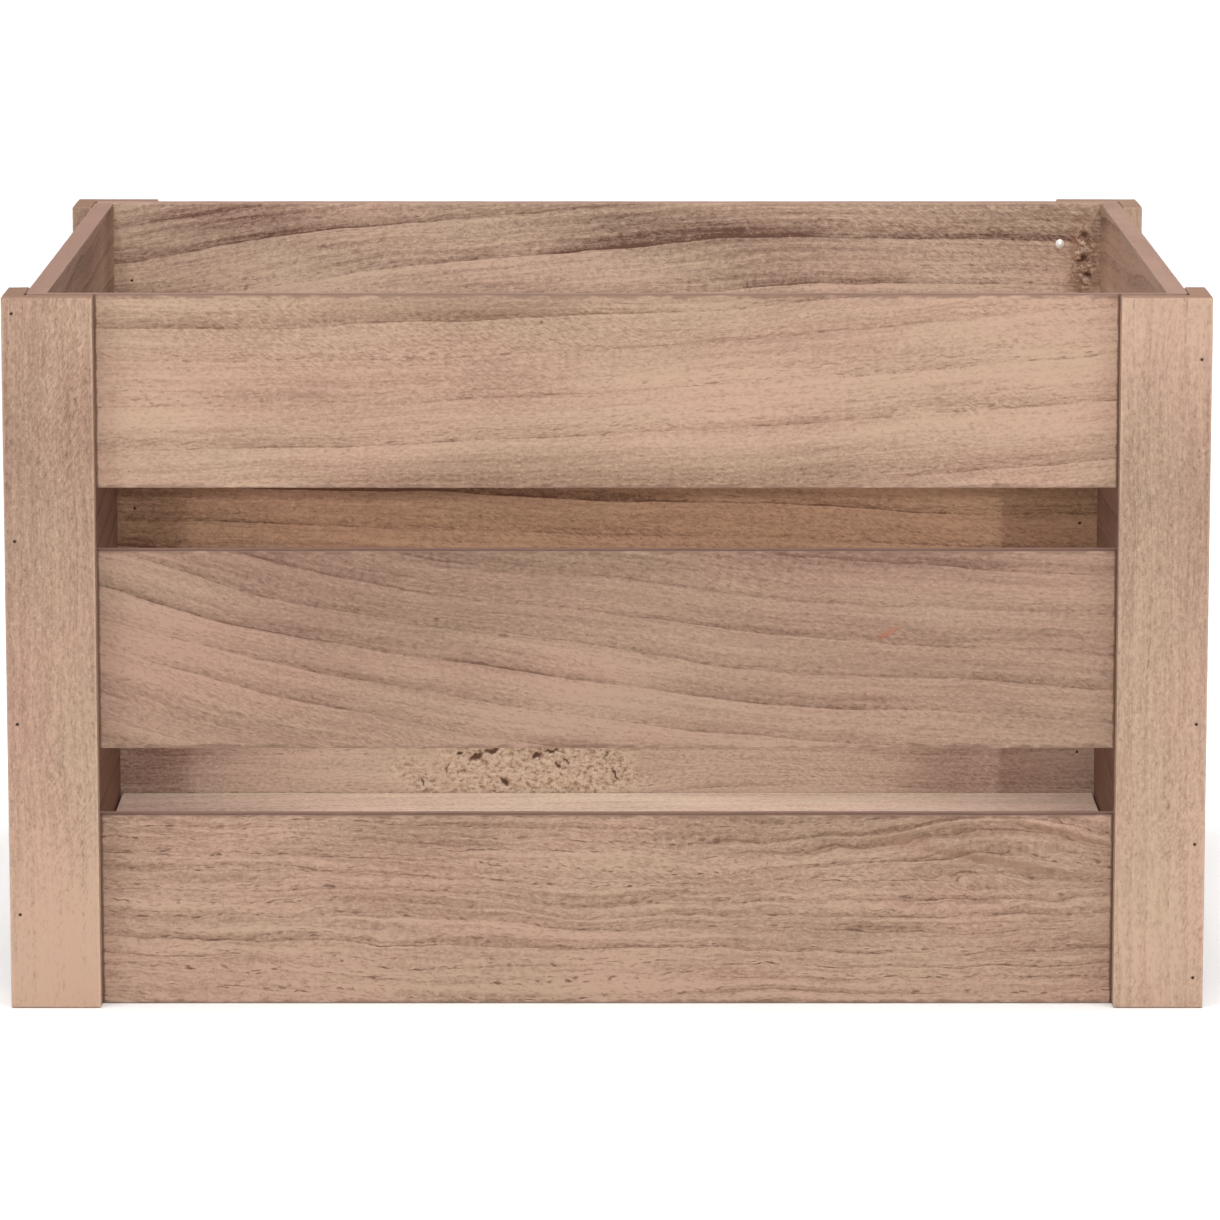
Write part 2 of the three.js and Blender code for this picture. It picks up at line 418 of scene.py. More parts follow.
def ring_darkness(g, grain, log):
    """Each ring starts sharply with a dark line and fades outwards. Its line breaks, some rings are
    weaker than others, and all of them fade in places.
    """
    number = g.math("FLOOR", grain.turns)
    chance = g.add("ShaderNodeTexWhiteNoise", {"W": number}, noise_dimensions="1D").outputs[0]
    strength = g.sum(g.product(chance, RING_VARIETY), WEAKEST_RING)
    broken = g.ramp(grain.noise(BROKEN_LINE), *BROKEN_RANGE)
    line = g.product(g.ramp(grain.through, 0.0, LINE_WIDTH, 1.0, 0.0), broken, log.lines)
    fade = g.ramp(grain.noise(RING_FADE), *FADE_RANGE, FAINTEST_RING, 1.0)
    weight = g.product(strength, fade, log.rings)
    for *hill, share in log.calm:
        weight = g.product(weight, g.math("MULTIPLY_ADD", grain.hill(*hill), -share, 1.0))
    return g.product(g.sum(g.product(grain.early, RING_SHARE), g.product(line, LINE_SHARE)), weight)


def wood_tone(g, grain, log):
    """How light the wood is. The blend that takes it holds it between 0 and 1."""
    streak = g.noise(STREAK, log.seed, grain.along, grain.radius, 0.0)
    # Light and dark flecks; the light ones are painted highlights on raised fibres
    glint_fleck = grain.noise(GLINT_FLECK)
    faint, full = GLINT_FLECK_RANGE
    glint_flecks = g.math("SUBTRACT", g.ramp(glint_fleck, faint, full), g.ramp(glint_fleck, -full, -faint, 1.0, 0.0))
    shade = 0.0
    for *hill, change in log.shades:
        shade = g.sum(shade, g.product(grain.hill(*hill), change))
    return g.sum(
        BASE_TONE,
        shade,
        g.product(ring_darkness(g, grain, log), RING_TONE),
        g.product(streak, STREAK_TONE * log.streaks),
        g.product(grain.fibre, FIBRE_TONE),
        g.product(grain.fuzz, FUZZ_TONE),
        g.product(glint_flecks, GLINT_FLECK_TONE),
        g.product(grain.noise(BROAD), BROAD_TONE),
        g.product(grain.curl, CURL_TONE),
    )


def mark_mask(g, grain, mark):
    """1 inside a turned ellipse with a ragged outline, on the +z side only."""
    x = g.math("SUBTRACT", grain.along, mark.at[0])
    y = g.math("SUBTRACT", grain.across, mark.at[1])
    cos, sin = math.cos(mark.turn), math.sin(mark.turn)
    long = g.product(g.sum(g.product(x, cos), g.product(y, sin)), 1 / mark.half[0])
    short = g.product(g.sum(g.product(y, cos), g.product(x, -sin)), 1 / mark.half[1])
    ragged = g.product(grain.noise(RAGGED), 1.2)
    away = g.sum(g.product(long, long), g.product(short, short), ragged)
    return g.product(g.ramp(away, 0.2, 1.0, 1.0, 0.0), g.ramp(grain.depth, 0.0, MM), mark.strength)


def finish_edges(g, grain, colour, size, shaded_top):
    """Eased edges are painted paler, partly rubbed wear and partly a painted highlight, a top edge that
    looks up gets painted shade, and end grain soaks up grime.
    """
    half = [extent / 2 for extent in size]
    beside = g.ramp(g.math("ABSOLUTE", grain.across), half[1] - 1.4 * MM, half[1] - 0.2 * MM)
    above = g.ramp(g.math("ABSOLUTE", grain.depth), half[2] - 1.2 * MM, half[2] - 0.2 * MM)
    # Eased edges painted paler: partly rubbed wear, partly a painted highlight
    colour = g.blend(g.product(beside, above, RUBBED_AND_LIT_EDGE_STRENGTH), colour, linear(RUBBED_AND_LIT_EDGE))
    if shaded_top:
        # Painted shade on the top edge and face that look up
        top = g.ramp(grain.across, half[1] - 0.9 * MM, half[1] - 0.2 * MM)
        colour = g.blend(g.product(top, TOP_EDGE_SHADE), colour, linear(TOP_EDGE_SHADE_COLOUR))
    end = g.ramp(g.math("ABSOLUTE", grain.along), half[0] - 0.7 * MM, half[0] - 0.1 * MM)
    return g.blend(g.product(end, END_DIRT), colour, linear(END_GRAIN))


def paint_corner_shade(g, grain, colour, size, post_shade):
    """Painted shade in the corners beside the posts' edges, and along the edges of the +z face."""
    front = g.ramp(grain.depth, 0.0, MM)
    # A painted contact shadow beside each post's edge
    for side in post_shade:
        away = g.math("ABSOLUTE", g.math("SUBTRACT", grain.along, side))
        away = g.sum(away, g.product(grain.wander, 1.2 * MM))
        stain = g.product(g.ramp(away, 0.5 * MM, 1.1 * MM, CORNER_SHADE, 0.0), front)
        colour = g.blend(stain, colour, linear(PAINTED_SHADE))
    # Painted shade along the long edges of the +z face
    from_edge = g.math("SUBTRACT", size[1] / 2, g.math("ABSOLUTE", grain.across))
    from_edge = g.sum(from_edge, g.product(grain.wander, 4 * MM))
    stain = g.product(g.ramp(from_edge, 0.4 * MM, 1.9 * MM, EDGE_SHADE, 0.0), front)
    return g.blend(stain, colour, linear(PAINTED_SHADE))


def tear_colour(g, colour, torn, hollow, grit):
    """Pale flakes and brown crumbs where the face is torn, and painted shade in its deepest hollows."""
    flakes = g.product(torn, g.ramp(grit, -0.02, 0.07), FLAKE_STRENGTH)
    crumbs = g.product(torn, g.ramp(grit, -0.15, -0.05, 1.0, 0.0), CRUMB_STRENGTH)
    # Painted shade in the deepest hollows
    shaded_holes = g.product(g.ramp(g.sum(hollow, g.product(grit, 1.2)), 0.1, 0.9), HOLLOW_SHADE_STRENGTH)
    colour = g.blend(flakes, colour, linear(FLAKE))
    colour = g.blend(crumbs, colour, linear(CRUMB))
    return g.blend(shaded_holes, colour, linear(HOLLOW_SHADE))


def wood_material(name, log, size, marks, post_shade, shaded_top):
    """Of the last two arguments, the first holds the places along the board where a post's edge lies on
    its +z face, which get painted shade, and the second says whether its +y edge looks up and gets painted
    shade.
    """
    g = Graph(name)
    grain = Grain(g, log)
    colour = g.blend(wood_tone(g, grain, log), linear(log.dark), linear(log.light))
    hue = g.ramp(grain.noise(HUE), *HUE_RANGE)
    colour = g.blend(1.0, colour, g.blend(hue, linear(PINK), linear(GREY)), "MULTIPLY")
    colour = g.blend(g.product(grain.pores, PORE_STAIN), colour, linear(PORE))
    for mark in marks:
        colour = g.blend(mark_mask(g, grain, mark), colour, linear(mark.colour))
    colour = finish_edges(g, grain, colour, size, shaded_top)
    # Painted shade beside the posts and along the face's edges
    if post_shade:
        colour = paint_corner_shade(g, grain, colour, size, post_shade)
    torn, hollow, grit = g.attribute("torn"), g.attribute("hollow"), grain.noise(GRIT)
    colour = tear_colour(g, colour, torn, hollow, grit)
    height = g.sum(
        g.product(grain.fibre, FIBRE_RELIEF),
        g.product(grain.fuzz, FUZZ_RELIEF),
        g.product(grain.pores, PORE_RELIEF),
        g.product(grain.curl, CURL_RELIEF),
        g.product(torn, grit, GRIT_RELIEF),
    )
    roughness = g.sum(
        ROUGHNESS,
        g.product(grain.fuzz, FUZZ_ROUGHNESS),
        g.product(grain.early, EARLY_ROUGHNESS),
    )
    return g.finish(colour, roughness, height, Specular_IOR_Level=SPECULAR)


def steel_material():
    g = Graph("brad_steel")
    rust = g.noise(Layer((900, 900, 900), 3, detail=3.0), 0, *g.place())
    colour = g.blend(g.ramp(rust, -0.1, 0.2), linear((52, 42, 38)), linear((86, 56, 40)))
    roughness = g.ramp(rust, -0.2, 0.2, 0.45, 0.8)
    return g.finish(colour, roughness, g.product(rust, 0.00003), Metallic=0.7)


def dome_material():
    g = Graph("domed_nail_metal")
    wear = g.noise(Layer((1500, 1500, 1500), 5, detail=3.0), 0, *g.place())
    colour = g.blend(g.ramp(wear, 0.0, 0.3), linear((252, 249, 243)), linear((226, 216, 202)))
    roughness = g.ramp(wear, -0.2, 0.2, 0.3, 0.45)
    return g.finish(colour, roughness, g.product(wear, 0.00001), Metallic=0.25)


# --- Boards --------------------------------------------------------------------------------------


def node_box(node):
    """The low and high corners of a CAD node."""
    return [Vector(corner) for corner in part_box(node)]


def wobble(points, scales, seed):
    """Smooth noise between about -1 and 1 at each point. scales are waves per metre."""
    moved = points * np.array(scales) + np.array((seed * 3.7, seed * 1.3, seed * 5.9))
    return np.array([noise.noise(point) for point in moved.tolist()])


def smooth_step(values):
    held = np.clip(values, 0, 1)
    return held * held * (3 - 2 * held)


def grid_lines(half, spans):
    """Where the grid's lines lie from -half to half. spans are (low, high, step) with finer lines."""
    inner = half - EASE - SUPPORT
    rim = [inner, *[half - EASE + EASE * math.tan(angle) for angle in EASE_ANGLES]]
    count = max(1, math.ceil(2 * inner / GRID_STEP))
    plain = [-inner + 2 * inner * index / count for index in range(count + 1)]
    for low, high, step in spans:
        low, high = max(low, -inner), min(high, inner)
        plain = [value for value in plain if not low < value < high]
        plain += list(np.linspace(low, high, max(2, math.ceil((high - low) / step) + 1)))
    lines = sorted([*plain, *rim, *[-value for value in rim]])
    kept = [lines[0]]
    for value in lines[1:]:
        if value - kept[-1] > SAME_LINE:
            kept.append(value)
    return np.array(kept)


def fine_spans(pits, patches, axis):
    """Where the grid is finer along x (axis 0) or y (axis 1), as (low, high, step)."""
    offsets = PIT_OFFSETS[::-1]
    spans = [(pit[axis] - offset, pit[axis] + offset, offset) for pit in pits for offset in offsets]
    for patch in patches:
        reach = patch.half[axis] * PATCH_REACH
        spans.append((patch.at[axis] - reach, patch.at[axis] + reach, PATCH_STEP))
    return spans


def lattice_surface(lines):
    """The vertices and outward quads of a box's surface, on a grid given by its lines along each axis."""
    counts = [len(axis) for axis in lines]
    index = np.stack(np.meshgrid(*[np.arange(count) for count in counts], indexing="ij"), axis=-1)
    on_surface = np.zeros(counts, bool)
    for axis in range(3):
        on_surface |= (index[..., axis] == 0) | (index[..., axis] == counts[axis] - 1)
    number = np.full(counts, -1)
    number[on_surface] = np.arange(on_surface.sum())
    places = np.stack([lines[axis][index[..., axis][on_surface]] for axis in range(3)], axis=1)
    faces = []
    for axis in range(3):
        for end in (0, -1):
            sheet = np.take(number, end, axis=axis)
            quads = np.stack([sheet[:-1, :-1], sheet[1:, :-1], sheet[1:, 1:], sheet[:-1, 1:]], axis=-1)
            quads = quads.reshape(-1, 4)
            outward = (end == -1) != (axis == 1)
            faces.append(quads if outward else quads[:, ::-1])
    return places, np.concatenate(faces)


def ease_edges(flat, half, seed):
    """Rounds a box's edges by a radius that varies along them. Returns the places and the ways out."""
    radius = EASE * (0.8 + 0.2 * wobble(flat, (60, 60, 60), seed))[:, None]
    core = np.clip(flat, -(half - radius), half - radius)
    out = flat - core
    out /= np.maximum(np.linalg.norm(out, axis=1, keepdims=True), 1e-9)
    return core + out * radius, out


def unevenness(flat, out, seed):
    """How far out each point moves. Planed faces undulate a little, sawn edges and ends more."""
    planed = PLANED * wobble(flat, (9, 30, 30), seed + 1)
    fine, broad = wobble(flat, (70, 70, 70), seed + 2), wobble(flat, (14, 14, 14), seed + 3)
    sawn = SAWN_FINE * fine + SAWN_BROAD * broad
    sideways = smooth_step(1 - np.abs(out[:, 2]) * 1.2)
    return planed - PLANED + (sawn - SAWN_FINE) * sideways


def tear(places, flat, half, patch, seed):
    """Sinks one patch's points. Returns how torn and how hollow each point is."""
    away = np.hypot(*[(flat[:, axis] - patch.at[axis]) / patch.half[axis] for axis in (0, 1)])
    ragged = away + 0.4 * wobble(flat, (60, 60, 60), seed + 4)
    inside = smooth_step((1.1 - ragged) / 0.5) * (flat[:, 2] > half[2] - FACE_SKIN)
    lumps = wobble(flat, (230, 300, 300), seed + 5) + 0.5 * wobble(flat, (520, 600, 600), seed + 6)
    deep = 0.6 * smooth_step((lumps - 0.4) / 0.5)
    shaken = CRACK_SHAKE[0] * wobble(flat, (260, 260, 260), seed + 7)
    shaken += CRACK_SHAKE[1] * wobble(flat, (700, 700, 700), seed + 8)
    for x, y, long, short, turn in patch.cracks:
        right, up = flat[:, 0] - x, flat[:, 1] - y
        on = (right * math.cos(turn) + up * math.sin(turn)) / long
        off = (up * math.cos(turn) - right * math.sin(turn) + shaken) / short
        deep = np.maximum(deep, smooth_step((1.3 - np.hypot(on, off)) / 0.9))
    places[:, 2] -= patch.depth * inside * (0.25 + 0.2 * lumps + 0.75 * deep)
    return inside, inside * deep


def sink_pits(places, flat, half, pits):
    """Presses in the wood under each brad's head."""
    for x, y, side in pits:
        near = np.hypot(flat[:, 0] - x, flat[:, 1] - y)
        facing = flat[:, 2] * side > half[2] - FACE_SKIN
        sunk = PIT_DEPTH * smooth_step((PIT_RADIUS - near) / (PIT_WALL * PIT_RADIUS))
        places[:, 2] -= side * sunk * facing


def board_mesh(name, size, seed, pits, patches):
    """An eased, slightly uneven board with pits for its brads and torn patches. pits are (x, y, side)."""
    half = np.array(size) / 2
    spans = [fine_spans(pits, patches, 0), fine_spans(pits, patches, 1), []]
    flat, faces = lattice_surface([grid_lines(*along) for along in zip(half, spans)])
    places, out = ease_edges(flat, half, seed)
    places += out * unevenness(flat, out, seed)[:, None]
    torn, hollow = np.zeros(len(flat)), np.zeros(len(flat))
    for patch in patches:
        inside, deep = tear(places, flat, half, patch, seed)
        torn, hollow = np.maximum(torn, inside), np.maximum(hollow, deep)
    sink_pits(places, flat, half, pits)

    mesh = bpy.data.meshes.new(name)
    mesh.from_pydata(places.tolist(), [], faces.tolist())
    mesh.shade_smooth()
    if patches:
        for attribute, values in (("torn", torn), ("hollow", hollow)):
            stored = mesh.attributes.new(attribute, "FLOAT", "POINT")
            stored.data.foreach_set("value", values.astype(np.float32))
    return mesh


def brad_pits(size, centre, turn, face):
    """(x, y, side), in the board's own coordinates, of each brad's head that lies on its wide faces."""
    pits = []
    for head, normal in BRAD_HEADS:
        local = turn.inverted() @ (head - centre)
        side = round(normal.dot(face))
        within = abs(local.x) < size[0] / 2 and abs(local.y) < size[1] / 2
        if side and within and abs(local.z * side - size[2] / 2) < HEAD_REACH:
            pits.append((local.x, local.y, side))
    return pits


def board(node, grain, face, log, marks=(), patches=(), post_shade=()):
    """Replaces a CAD board. grain and face are the directions of the grain and of the board's +z face."""
    low, high = node_box(node)
    centre = (low + high) / 2
    wide = face.cross(grain)
    turn = Matrix((grain, wide, face)).transposed()
    size = [abs((high - low).dot(axis)) - 2 * PLAY for axis in (grain, wide, face)]
    mesh = board_mesh(node, size, log.seed, brad_pits(size, centre, turn, face), patches)
    piece = bpy.data.objects.new(f"{node}_wood", mesh)
    piece.matrix_world = Matrix.Translation(centre) @ turn.to_4x4()
    bpy.context.collection.objects.link(piece)
    # A +y edge that looks up gets painted shade
    shaded_top = wide.z > 0.5
    mesh.materials.append(wood_material(f"{node}_wood", log, size, marks, post_shade, shaded_top))
    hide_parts(node)
    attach(piece, "root")


# --- Brads and the domed nail --------------------------------------------------------------------


def turned_mesh(name, profile, sides):
    """A solid turned about z from (radius, height) points that start and end on the axis."""
    vertices, faces, rows = [], [], []
    for radius, height in profile:
        if radius == 0:
            rows.append([len(vertices)] * sides)
            vertices.append((0, 0, height))
            continue
        rows.append(list(range(len(vertices), len(vertices) + sides)))
        angles = [2 * math.pi * index / sides for index in range(sides)]
        vertices += [(radius * math.cos(angle), radius * math.sin(angle), height) for angle in angles]
    for lower, upper in zip(rows, rows[1:]):
        for index in range(sides):
            following = (index + 1) % sides
            ring = [lower[index], lower[following], upper[following], upper[index]]
            faces.append(list(dict.fromkeys(ring)))
    mesh = bpy.data.meshes.new(name)
    mesh.from_pydata(vertices, [], faces)
    mesh.shade_smooth()
    return mesh


def brad_profile(length):
    """A brad hanging down from its head at 0, with a chiselled point."""
    return [
        (0, -length),
        (0.2 * MM, 0.4 * MM - length),
        (0.5 * MM, 1.8 * MM - length),
        (0.5 * MM, -0.7 * MM),
        (0.74 * MM, -0.45 * MM),
        (0.76 * MM, -0.12 * MM),
        (0.66 * MM, -0.02 * MM),
        (0.3 * MM, 0.02 * MM),
        (0, 0.03 * MM),
    ]


def pin(name, profile, sides, head, normal, look, node=None):
    """A turned fastener with its head at head, facing along normal."""
    piece = bpy.data.objects.new(name, turned_mesh(name, profile, sides))
    piece.matrix_world = Matrix.Translation(head) @ normal.to_track_quat("Z", "Y").to_matrix().to_4x4()
    bpy.context.collection.objects.link(piece)
    piece.data.materials.append(look)
    if node:
        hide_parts(node)
    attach(piece, "root")


def cad_brads():
    """(node, head on the face, outward normal, length) of every brad in the CAD model."""
    found = []
    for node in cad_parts:
        if "brad" not in node:
            continue
        low, high = node_box(node)
        outward = (-Y if node.startswith("front") else Y) * (-1 if "slat_brad" in node else 1)
        length = high.y - low.y
        found.append((node, (low + high) / 2 + outward * length / 2, outward, length))
    return found


def extra_brads():
    """(name, head, outward normal, length) of the brads of the short walls and the floor."""
    found = []
    rng = random.Random(7)
    for side, inward in (("left", X), ("right", -X)):
        for row in ("bottom", "middle", "top"):
            low, high = node_box(f"{side}_{row}_slat")
            inner = high.x if side == "left" else low.x
            for end, y in (("front", low.y + EXTRA_BRAD_INSET), ("back", high.y - EXTRA_BRAD_INSET)):
                z = (low.z + high.z) / 2 + rng.uniform(-6, 6) * MM
                name = f"{side}_{row}_{end}_slat_brad"
                found.append((name, Vector((inner, y, z)), inward, EXTRA_BRAD_LENGTH))
    for board_index in range(1, 5):
        low, high = node_box(f"floor_board_{board_index}")
        for cleat_index in range(1, 4):
            cleat_low, cleat_high = node_box(f"floor_cleat_{cleat_index}")
            x = (cleat_low.x + cleat_high.x) / 2 + rng.uniform(-4, 4) * MM
            y = (low.y + high.y) / 2 + rng.uniform(-10, 10) * MM
            name = f"floor_brad_{board_index}_{cleat_index}"
            found.append((name, Vector((x, y, high.z)), Z, EXTRA_BRAD_LENGTH))
    return found


def domed_nail():
    low, high = node_box("domed_nail")
    slat_face = node_box("back_top_slat")[0].y
    head = Vector(((low.x + high.x) / 2, slat_face, (low.z + high.z) / 2))
    angles = [math.pi / 2 * step / DOME_STEPS for step in range(DOME_STEPS)]
    dome = [(DOME_RADIUS * math.cos(angle), DOME_RIM + DOME_RISE * math.sin(angle)) for angle in angles]
    profile = [
        (0, -7 * MM),
        (0.65 * MM, -5 * MM),
        (0.65 * MM, -0.1 * MM),
        (0.93 * DOME_RADIUS, 0.0),
        *dome,
        (0, DOME_RIM + DOME_RISE),
    ]
    pin("domed_nail_metal", profile, DOME_SIDES, head, -Y, dome_material(), "domed_nail")


# --- The crate -----------------------------------------------------------------------------------

CAD_BRADS = cad_brads()
EXTRA_BRADS = extra_brads()
POST_EDGES = (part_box("front_left_face_board")[1][0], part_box("front_right_face_board")[0][0])
BRAD_HEADS = [(head, normal) for _, head, normal, _ in [*CAD_BRADS, *EXTRA_BRADS]]

FRONT_TOP = Log(
    light=(178, 149, 129), dark=(114, 84, 66), across=(-0.17, 0.055, 0.12, 0.0), depth=(-0.05, 0.0),
    spacing=0.0165, phase=0.35, seed=11, rings=0.8,
    shades=(
        (-0.05, 0.036, 0.09, 0.01, -0.18), (-0.19, 0.0, 0.04, 0.025, 0.25),
        (-0.048, 0.006, 0.038, 0.018, -0.25), (0.06, -0.002, 0.07, 0.014, 0.18),
        (0.19, 0.004, 0.03, 0.018, 0.19), (-0.055, -0.034, 0.07, 0.011, -0.44),
        (0.09, -0.036, 0.08, 0.01, -0.28), (0.18, 0.036, 0.04, 0.009, -0.1),
    ),
)
FRONT_MIDDLE = Log(
    light=(163, 134, 116), dark=(101, 73, 58), across=(-0.2, -0.125, 0.25, -0.3), depth=(-0.06, 0.0),
    spacing=0.0135, phase=0.45, seed=24, lines=0.7,
    shades=(
        (-0.08, 0.02, 0.09, 0.014, -0.2), (-0.17, -0.01, 0.04, 0.02, 0.18),
        (-0.02, -0.03, 0.04, 0.012, 0.1), (0.01, 0.037, 0.19, 0.009, -0.38),
        (-0.187, 0.012, 0.03, 0.011, 0.18), (0.0, -0.012, 0.03, 0.012, 0.24),
        (-0.062, 0.012, 0.025, 0.01, -0.18), (0.08, 0.034, 0.04, 0.012, -0.12),
        (0.1, -0.01, 0.05, 0.011, -0.1), (0.19, 0.014, 0.03, 0.02, -0.12),
        (0.08, -0.034, 0.04, 0.009, 0.1),
    ),
)
FRONT_BOTTOM = Log(
    light=(172, 144, 125), dark=(104, 74, 56), across=(-0.16, 0.0, 0.1, -0.3), depth=(-0.05, 0.0),
    spacing=0.0062, phase=0.3, seed=37, ripple=0.006, streaks=1.5, rings=1.1, pores=1.9,
    shades=(
        (0.05, 0.035, 0.13, 0.01, -0.26), (0.12, 0.034, 0.06, 0.01, -0.16),
        (-0.08, 0.035, 0.04, 0.011, -0.22), (0.0, 0.02, 0.03, 0.012, 0.12),
        (0.035, -0.012, 0.045, 0.012, 0.16), (0.0, -0.033, 0.04, 0.012, 0.38),
        (0.19, -0.012, 0.02, 0.012, -0.12), (-0.19, 0.0, 0.02, 0.04, 0.07),
    ),
    calm=(
        (0.0, 0.03, 0.12, 0.02, 0.95), (-0.17, 0.028, 0.06, 0.016, 0.7),
        (-0.02, -0.03, 0.05, 0.014, 0.6),
    ),
    bulges=(
        (0.165, 0.036, 0.045, 0.02, 0.009), (-0.01, -0.004, 0.02, 0.012, -0.003),
        (-0.12, 0.01, 0.05, 0.03, 0.004),
    ),
)
BACK_TOP = Log(
    light=(220, 192, 170), dark=(114, 80, 66), across=(-0.15, 0.07, -0.2, 0.0), depth=(-0.05, 0.0),
    spacing=0.018, phase=0.1, seed=43, rings=1.6, lines=0.5, streaks=1.3,
    shades=(
        (0.0, 0.0, 1.0, 1.0, -0.1), (-0.185, 0.034, 0.035, 0.008, -0.45),
        (-0.15, 0.034, 0.02, 0.008, -0.18), (-0.01, -0.006, 0.03, 0.009, 0.1),
        (-0.2, 0.02, 0.02, 0.007, 0.2), (-0.04, 0.02, 0.04, 0.007, 0.16),
        (0.015, 0.034, 0.045, 0.008, -0.34), (0.13, 0.033, 0.035, 0.008, 0.24),
        (0.08, 0.02, 0.035, 0.007, -0.14), (-0.17, 0.005, 0.05, 0.008, 0.38),
        (0.0, 0.005, 0.06, 0.008, 0.24), (0.105, 0.004, 0.02, 0.008, 0.16),
        (0.165, 0.006, 0.05, 0.009, 0.38),
    ),
)
# Its darker ends are painted shadow, where the posts and short walls shade the back wall
BACK_MIDDLE = Log(
    light=(188, 152, 124), dark=(104, 70, 50), across=(-0.16, -0.03, 0.0, 0.0), seed=53, rings=1.4,
    shades=((-0.22, 0.0, 0.025, 0.09, -0.25), (0.205, 0.0, 0.032, 0.09, -0.2)),
)
# Its darker left end is painted shadow; the darker place at the right is partly a reddish stain, partly
# painted shadow
BACK_BOTTOM = Log(
    light=(210, 185, 168), dark=(138, 106, 90), across=(-0.16, 0.01, 0.0, 0.0), seed=61, rings=0.7,
    shades=((-0.22, 0.0, 0.032, 0.09, -0.6), (0.165, 0.0, 0.03, 0.09, -0.36)),
)
LEFT_POST = Log(
    light=(179, 150, 130), dark=(108, 80, 64), across=(-0.3, 0.01, 0.0, 0.0), depth=(-0.25, 0.0),
    spacing=0.007, seed=71, rings=0.25, pores=0.5, streaks=0.6,
    shades=(
        (0.0, 0.0, 1.0, 1.0, -0.16), (0.08, 0.0, 0.06, 0.09, -0.2),
        (-0.15, 0.0, 0.06, 0.09, 0.5),
    ),
)
RIGHT_POST = replace(
    LEFT_POST, light=(182, 154, 134), dark=(116, 87, 71), spacing=0.0055, rings=0.4, seed=83,
    shades=(
        (0.0, 0.0, 1.0, 1.0, -0.12), (0.155, 0.0, 0.045, 0.09, 0.38),
        (0.06, 0.0, 0.03, 0.09, -0.08), (-0.12, 0.0, 0.05, 0.09, 0.2),
    ),
)
BARK = Patch(
    (0.2245, 0.013), (0.0065, 0.021), 1.2 * MM,
    cracks=(
        (0.2245, 0.025, 2.2 * MM, 1.5 * MM, 0.3), (0.2235, 0.014, 3.0 * MM, 1.3 * MM, 0.7),
        (0.2265, 0.006, 2.4 * MM, 1.3 * MM, -0.5), (0.2225, -0.002, 2.2 * MM, 1.2 * MM, 0.2),
    ),
)
BARK_STAIN = Mark(BARK.at, (0.009, 0.026), colour=(146, 104, 76), strength=0.6)
CRUMBLY = Patch(
    (-0.043, -0.012), (0.06, 0.026), 1.3 * MM,
    cracks=(
        (-0.0625, -0.0058, 4.4 * MM, 1.8 * MM, 0.4), (-0.055, -0.0026, 4.4 * MM, 1.1 * MM, 0.25),
        (-0.0335, -0.0052, 3.0 * MM, 1.4 * MM, 0.4), (-0.0265, -0.0030, 4.2 * MM, 0.9 * MM, 0.15),
        (-0.0490, -0.0178, 3.4 * MM, 1.3 * MM, -0.7), (-0.0008, -0.0044, 1.8 * MM, 0.9 * MM, 1.2),
        (0.0035, -0.0142, 4.4 * MM, 0.7 * MM, -0.95), (-0.0875, -0.0180, 2.6 * MM, 0.7 * MM, -1.3),
        (-0.0704, -0.0042, 1.6 * MM, 0.9 * MM, 0.8), (-0.0762, -0.0118, 3.0 * MM, 0.6 * MM, 1.4),
        (-0.0238, -0.0098, 2.4 * MM, 0.8 * MM, -1.0), (-0.0200, -0.0075, 3.4 * MM, 0.6 * MM, -1.1),
    ),
)
CRUMBLY_STAIN = Mark((-0.045, -0.012), (0.062, 0.03), colour=(206, 178, 152), strength=0.45)

# The short walls' inner faces, by side and row. The lower rows' colours are painted darker, as shade
# inside the crate.
TOP_LIGHT = {"left": (192, 158, 137), "right": (216, 181, 160)}
TOP_DARK = {"left": (118, 86, 70), "right": (142, 105, 87)}
TOP_SHADES = {
    "left": (
        (0.15, 0.0, 0.018, 0.09, -0.22), (0.11, 0.0, 0.014, 0.09, 0.14),
        (0.0, 0.0, 0.04, 0.09, -0.14),
    ),
    "right": (
        (-0.17, 0.0, 0.018, 0.09, -0.24), (-0.12, 0.0, 0.016, 0.09, 0.16),
        (0.0, -0.01, 0.05, 0.06, -0.16),
    ),
}
SHADED_LOW_LIGHT = {"left": (138, 104, 86), "right": (150, 114, 98)}
SHADED_LOW_DARK = (92, 64, 52)


def some_log(seed):
    """A log for a board whose own figure isn't known."""
    rng = random.Random(seed)
    shade = rng.uniform(-8, 8)
    offset = rng.choice((-1, 1)) * rng.uniform(0.08, 0.2)
    return Log(
        light=(186 + shade, 156 + shade, 135 + shade),
        dark=(118 + shade, 88 + shade, 71 + shade),
        across=(offset, rng.uniform(-0.06, 0.06), rng.uniform(-0.2, 0.2), 0.0),
        depth=(rng.uniform(-0.08, -0.04), rng.uniform(-0.05, 0.05)),
        spacing=rng.uniform(0.011, 0.017),
        phase=rng.random(),
        rings=rng.uniform(0.7, 1.1),
        seed=seed,
    )


